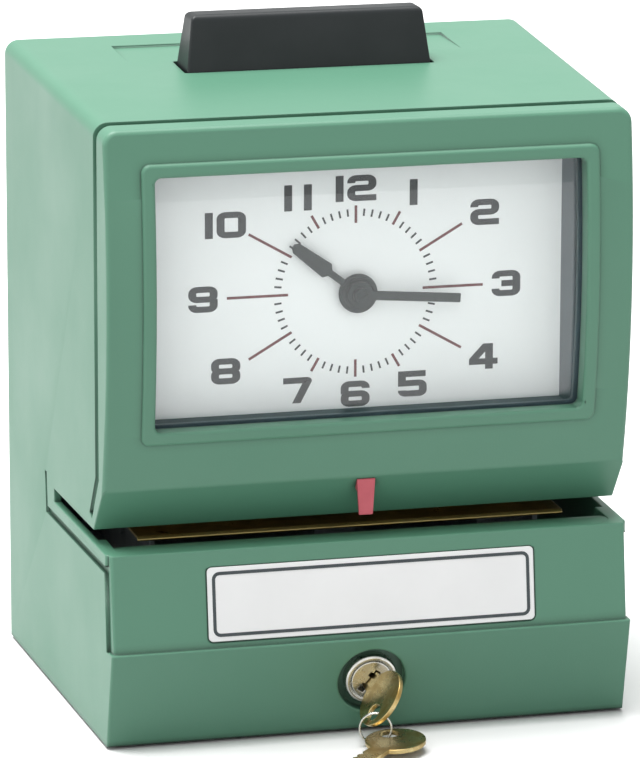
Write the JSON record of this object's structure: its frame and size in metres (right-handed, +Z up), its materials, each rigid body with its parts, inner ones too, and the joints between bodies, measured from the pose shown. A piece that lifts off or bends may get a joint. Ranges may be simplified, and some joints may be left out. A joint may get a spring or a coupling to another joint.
{
  "type": "time clock",
  "caption": "Desk or wall time recorder: a moulded cover with a window over an analogue dial, a print bar on top, a card slot, and a keyed lock on the skirt.",
  "frame": {"origin": "centre of the overall footprint, on the desk under the feet", "axes": "+X to the viewer's right, -Y towards the front with the dial and lock, +Z up"},
  "size_m": [0.212, 0.2139, 0.262],
  "materials": {
    "body_green": "fine-textured moulded plastic, soft gloss",
    "black_plastic": "matte moulded",
    "lens_clear": "clear",
    "white_plastic": "matte white",
    "plate_white": "satin white",
    "red_mark": "red",
    "lock_nickel": "nickel plated",
    "zinc_steel": "zinc plated",
    "yellow_zinc": "yellow chromate zinc",
    "brass": "bare brass",
    "motor_grey": "satin grey",
    "hand_grey": "matte dark grey",
    "type_metal": "dark type metal",
    "ink_fabric": "inked cloth",
    "rubber_black": "matte"
  },
  "bodies": {
    "chassis": {"back_plate": "zinc_steel", "cord_grommet": "rubber_black", "base_plate": "zinc_steel", "rubber_feet": "rubber_black", "left_frame": "zinc_steel", "right_frame": "zinc_steel", "frame_posts": "zinc_steel", "frame_screws": "zinc_steel", "movement_plate": "zinc_steel", "dial": "white_plastic", "drive_motor": "motor_grey", "drive_bracket": "zinc_steel", "type_bracket": "zinc_steel", "spool_studs": "zinc_steel", "ribbon": "ink_fabric", "lower_card_guide": "yellow_zinc", "upper_card_guide": "yellow_zinc", "lever_shaft": "zinc_steel", "return_spring": "zinc_steel", "hammer_shaft": "zinc_steel", "terminal_block": "black_plastic"},
    "cover": {"case_cover": "body_green", "dial_lens": "lens_clear", "lens_retainer": "white_plastic", "nameplate": "plate_white", "card_pointer": "red_mark", "lock_barrel": "lock_nickel", "lock_nut": "zinc_steel"},
    "push_bar": {"push_bar": "black_plastic"},
    "lock": {"lock_plug": "brass", "lock_cam": "zinc_steel", "cam_screw": "zinc_steel", "key": "brass"},
    "ring": {"key_ring": "lock_nickel"},
    "spare": {"spare_key": "brass"},
    "lever": {"push_lever": "zinc_steel"},
    "rod": {"push_rod": "zinc_steel"},
    "hammer": {"hammer": "zinc_steel", "hammer_pad": "rubber_black"},
    "minute": {"minute_arbor": "brass", "minute_hand": "hand_grey"},
    "minute_wheel": {"minute_wheel": "brass"},
    "hour": {"hour_wheel": "brass", "hour_hand": "hand_grey"},
    "motor_pinion": {"motor_pinion": "brass"},
    "transfer": {"transfer_gear": "brass"},
    "drive_shaft": {"drive_shaft": "zinc_steel"},
    "type_shaft": {"type_shaft": "zinc_steel", "minute_type_wheel": "type_metal"},
    "hour_type": {"hour_type_wheel": "type_metal"},
    "day_type": {"day_type_wheel": "type_metal"},
    "left_spool": {"left_spool": "zinc_steel", "left_ribbon_roll": "ink_fabric"},
    "right_spool": {"right_spool": "zinc_steel", "right_ribbon_roll": "ink_fabric"}
  },
  "joints": [
    {"name": "cover_pull", "type": "slide", "parent": "chassis", "child": "cover", "axis": [0, -1, 0], "range_m": [0, 0.175]},
    {"name": "bar_press", "type": "slide", "parent": "cover", "child": "push_bar", "axis": [0, 0, -1], "range_m": [0, 0.0084], "stiffness_N_per_m": 600, "springref_m": -0.012},
    {"name": "lever_swing", "type": "hinge", "parent": "chassis", "child": "lever", "pos_m": [0, 0.08295, 0.21], "axis": [1, 0, 0], "range_deg": [0, 14.4], "deforming": ["return_spring"]},
    {"name": "rod_push", "type": "slide", "parent": "chassis", "child": "rod", "axis": [0, 0, -1], "range_m": [0, 0.00592]},
    {"name": "hammer_strike", "type": "hinge", "parent": "chassis", "child": "hammer", "pos_m": [0, 0.03095, 0.064], "axis": [-1, 0, 0], "range_deg": [0, 11.5]},
    {"name": "minute_turn", "type": "hinge", "parent": "chassis", "child": "minute", "pos_m": [0, -0.03005, 0.1667], "axis": [0, 1, 0], "continuous": true},
    {"name": "hour_turn", "type": "hinge", "parent": "chassis", "child": "hour", "pos_m": [0, -0.03005, 0.1667], "axis": [0, 1, 0], "continuous": true},
    {"name": "minute_wheel_turn", "type": "hinge", "parent": "chassis", "child": "minute_wheel", "pos_m": [0, -0.02305, 0.1475], "axis": [0, 1, 0], "continuous": true},
    {"name": "motor_turn", "type": "hinge", "parent": "chassis", "child": "motor_pinion", "pos_m": [-0.0252, -0.00905, 0.1667], "axis": [0, 1, 0], "continuous": true},
    {"name": "transfer_turn", "type": "hinge", "parent": "chassis", "child": "transfer", "pos_m": [0.03, -0.00905, 0.1667], "axis": [0, 1, 0], "continuous": true},
    {"name": "drive_shaft_turn", "type": "hinge", "parent": "chassis", "child": "drive_shaft", "pos_m": [0.03, 0.00495, 0.13], "axis": [0, 0, 1], "continuous": true},
    {"name": "type_turn", "type": "hinge", "parent": "chassis", "child": "type_shaft", "pos_m": [0, 0.00495, 0.0975], "axis": [1, 0, 0], "continuous": true},
    {"name": "hour_type_turn", "type": "hinge", "parent": "chassis", "child": "hour_type", "pos_m": [0, 0.00495, 0.0975], "axis": [1, 0, 0], "continuous": true},
    {"name": "day_type_turn", "type": "hinge", "parent": "chassis", "child": "day_type", "pos_m": [0, 0.00495, 0.0975], "axis": [1, 0, 0], "continuous": true},
    {"name": "left_spool_turn", "type": "hinge", "parent": "chassis", "child": "left_spool", "pos_m": [-0.056, 0.00495, 0.104], "axis": [0, 1, 0], "continuous": true},
    {"name": "right_spool_turn", "type": "hinge", "parent": "chassis", "child": "right_spool", "pos_m": [0.056, 0.00495, 0.104], "axis": [0, 1, 0], "continuous": true},
    {"name": "lock_turn", "type": "hinge", "parent": "cover", "child": "lock", "pos_m": [0, -0.05643, 0.0212], "axis": [0, -0.9742, -0.2256], "range_deg": [-5, 80]},
    {"name": "ring_hang", "type": "hinge", "parent": "lock", "child": "ring", "pos_m": [-0.00287, -0.07255, 0.01326], "axis": [0, -0.9742, -0.2256], "range_deg": [-80, 5]},
    {"name": "spare_swing", "type": "hinge", "parent": "ring", "child": "spare", "pos_m": [0.00215, -0.0739, 0.00426], "axis": [-0.6691, 0.7431, 0], "range_deg": [0, 25]}
  ],
  "couplings": [
    {"joint": "lever_swing", "follows": "bar_press", "rad_per_m": 29.762},
    {"joint": "rod_push", "follows": "bar_press", "ratio": 0.70238},
    {"joint": "hammer_strike", "follows": "bar_press", "rad_per_m": 23.81},
    {"joint": "hour_turn", "follows": "minute_turn", "ratio": 0.083333},
    {"joint": "minute_wheel_turn", "follows": "minute_turn", "ratio": -0.33333},
    {"joint": "motor_turn", "follows": "minute_turn", "ratio": -5},
    {"joint": "transfer_turn", "follows": "minute_turn", "ratio": -1},
    {"joint": "drive_shaft_turn", "follows": "minute_turn", "ratio": 1},
    {"joint": "type_turn", "follows": "minute_turn", "ratio": 1},
    {"joint": "hour_type_turn", "follows": "minute_turn", "ratio": 0.041667},
    {"joint": "day_type_turn", "follows": "minute_turn", "ratio": 0.001344},
    {"joint": "right_spool_turn", "follows": "left_spool_turn", "ratio": 1.4444},
    {"joint": "ring_hang", "follows": "lock_turn", "ratio": -1}
  ]
}
